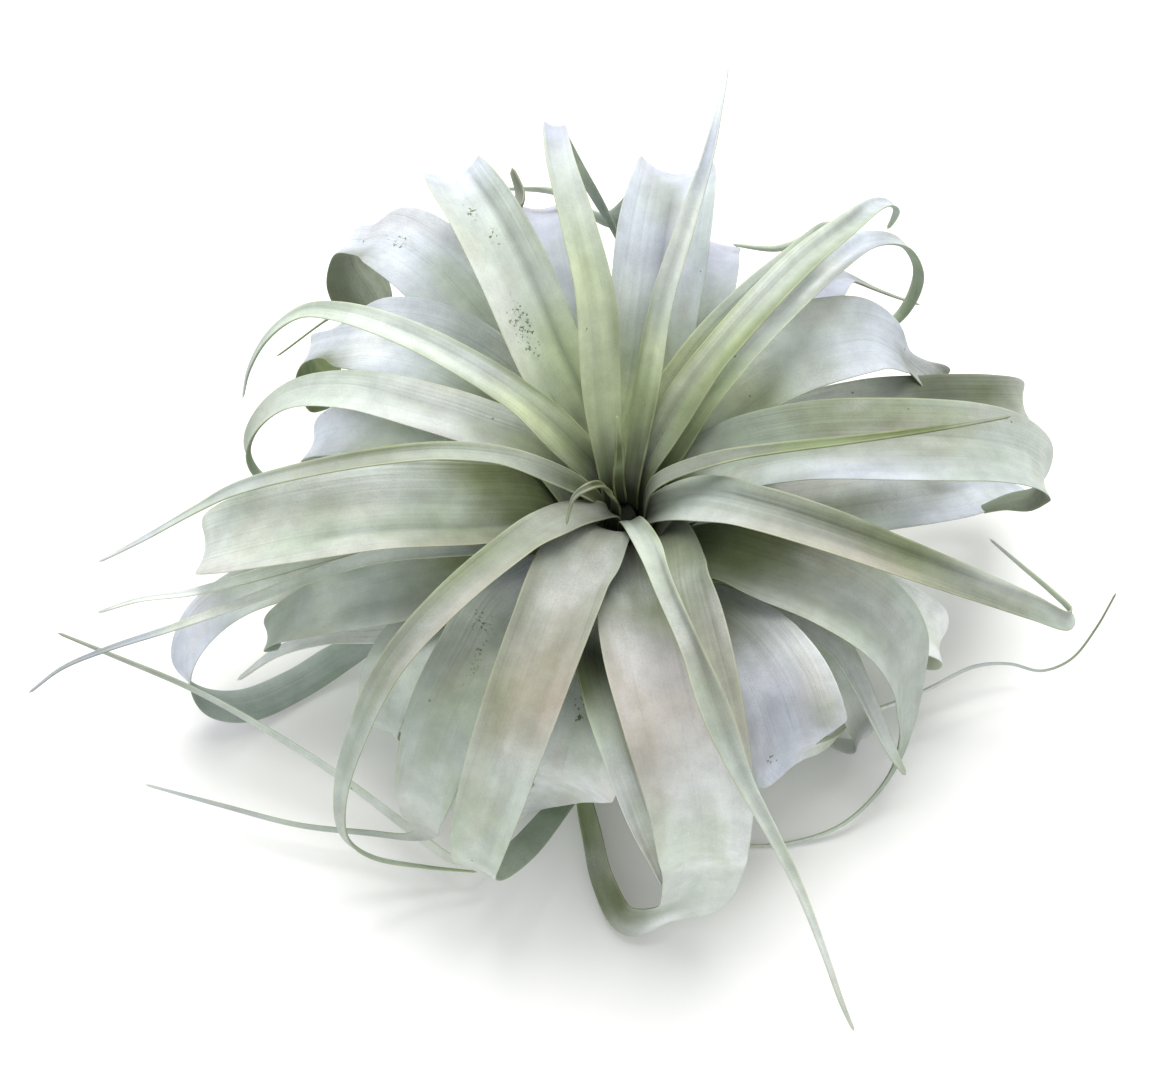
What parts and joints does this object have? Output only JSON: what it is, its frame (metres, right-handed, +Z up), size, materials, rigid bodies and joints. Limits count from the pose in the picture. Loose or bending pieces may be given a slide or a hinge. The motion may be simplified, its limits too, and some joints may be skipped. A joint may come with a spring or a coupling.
{
  "type": "xerographica air plant",
  "caption": "Air plant rosette of silvery channelled leaves that arch, taper and curl round a short woody stem; stands on its stem foot.",
  "frame": {"origin": "centre of the stem's flat foot, on the surface that the plant stands on", "axes": "+Z up along the stem, +X along the longest spread of the leaf tips, -Y towards the side of the broadest drooping leaves"},
  "size_m": [0.4108, 0.334, 0.2065],
  "materials": {
    "stem": "rough dry bark with old leaf scars",
    "leaf_heart": "young leaf, light yellow-green, thin matte powder",
    "leaf_inner": "sage green under matte silvery scales, faint streaks along",
    "leaf_middle": "silvery sage, powdery matte, tan rims and tips",
    "leaf_outer": "old leaf, pale silver-grey, powdery matte, tan rims and tips"
  },
  "bodies": {
    "root": {"stem": "stem", "leaf_01_heart_spike": "leaf_heart", "leaf_02_heart_curl": "leaf_heart", "leaf_03_back_arch": "leaf_heart", "leaf_04_back_spear": "leaf_heart", "leaf_05_right_whip": "leaf_heart", "leaf_06_left_whip": "leaf_heart", "leaf_07_upper_left_arch": "leaf_inner", "leaf_08_upper_right_hook": "leaf_heart", "leaf_09_front_spear": "leaf_inner", "leaf_10_front_left_loop": "leaf_inner", "leaf_11_right_strap": "leaf_inner", "leaf_12_upper_right_back": "leaf_inner", "leaf_13_upper_right_arch": "leaf_inner", "leaf_14_back_left_strap": "leaf_inner", "leaf_15_left_loop": "leaf_inner", "leaf_16_front_left_strap": "leaf_middle", "leaf_17_front_broad": "leaf_middle", "leaf_18_right_broad": "leaf_middle", "leaf_19_back_broad": "leaf_middle", "leaf_20_left_broad": "leaf_middle", "leaf_21_long_left_whip": "leaf_middle", "leaf_22_upper_right_broad": "leaf_middle", "leaf_23_left_tip": "leaf_middle", "leaf_24_lower_right_sickle": "leaf_middle", "leaf_25_upper_left_fold": "leaf_outer", "leaf_26_upper_left_broad": "leaf_outer", "leaf_27_back_outer_left": "leaf_outer", "leaf_28_left_outer": "leaf_outer", "leaf_29_right_outer": "leaf_outer", "leaf_30_back_outer_right": "leaf_outer", "leaf_31_lower_left_outer": "leaf_outer", "leaf_32_right_under": "leaf_outer", "leaf_33_upper_right_under": "leaf_outer", "leaf_34_front_outer": "leaf_outer", "leaf_35_left_under": "leaf_outer", "leaf_36_lower_right_broad": "leaf_outer", "leaf_37_left_low_loop": "leaf_outer", "leaf_38_front_strip": "leaf_middle", "leaf_39_lower_left_under": "leaf_outer", "leaf_40_lower_right_tip": "leaf_middle", "leaf_41_right_low": "leaf_outer", "leaf_42_left_low_tip": "leaf_middle", "leaf_43_lower_right_under": "leaf_outer"}
  },
  "joints": []
}
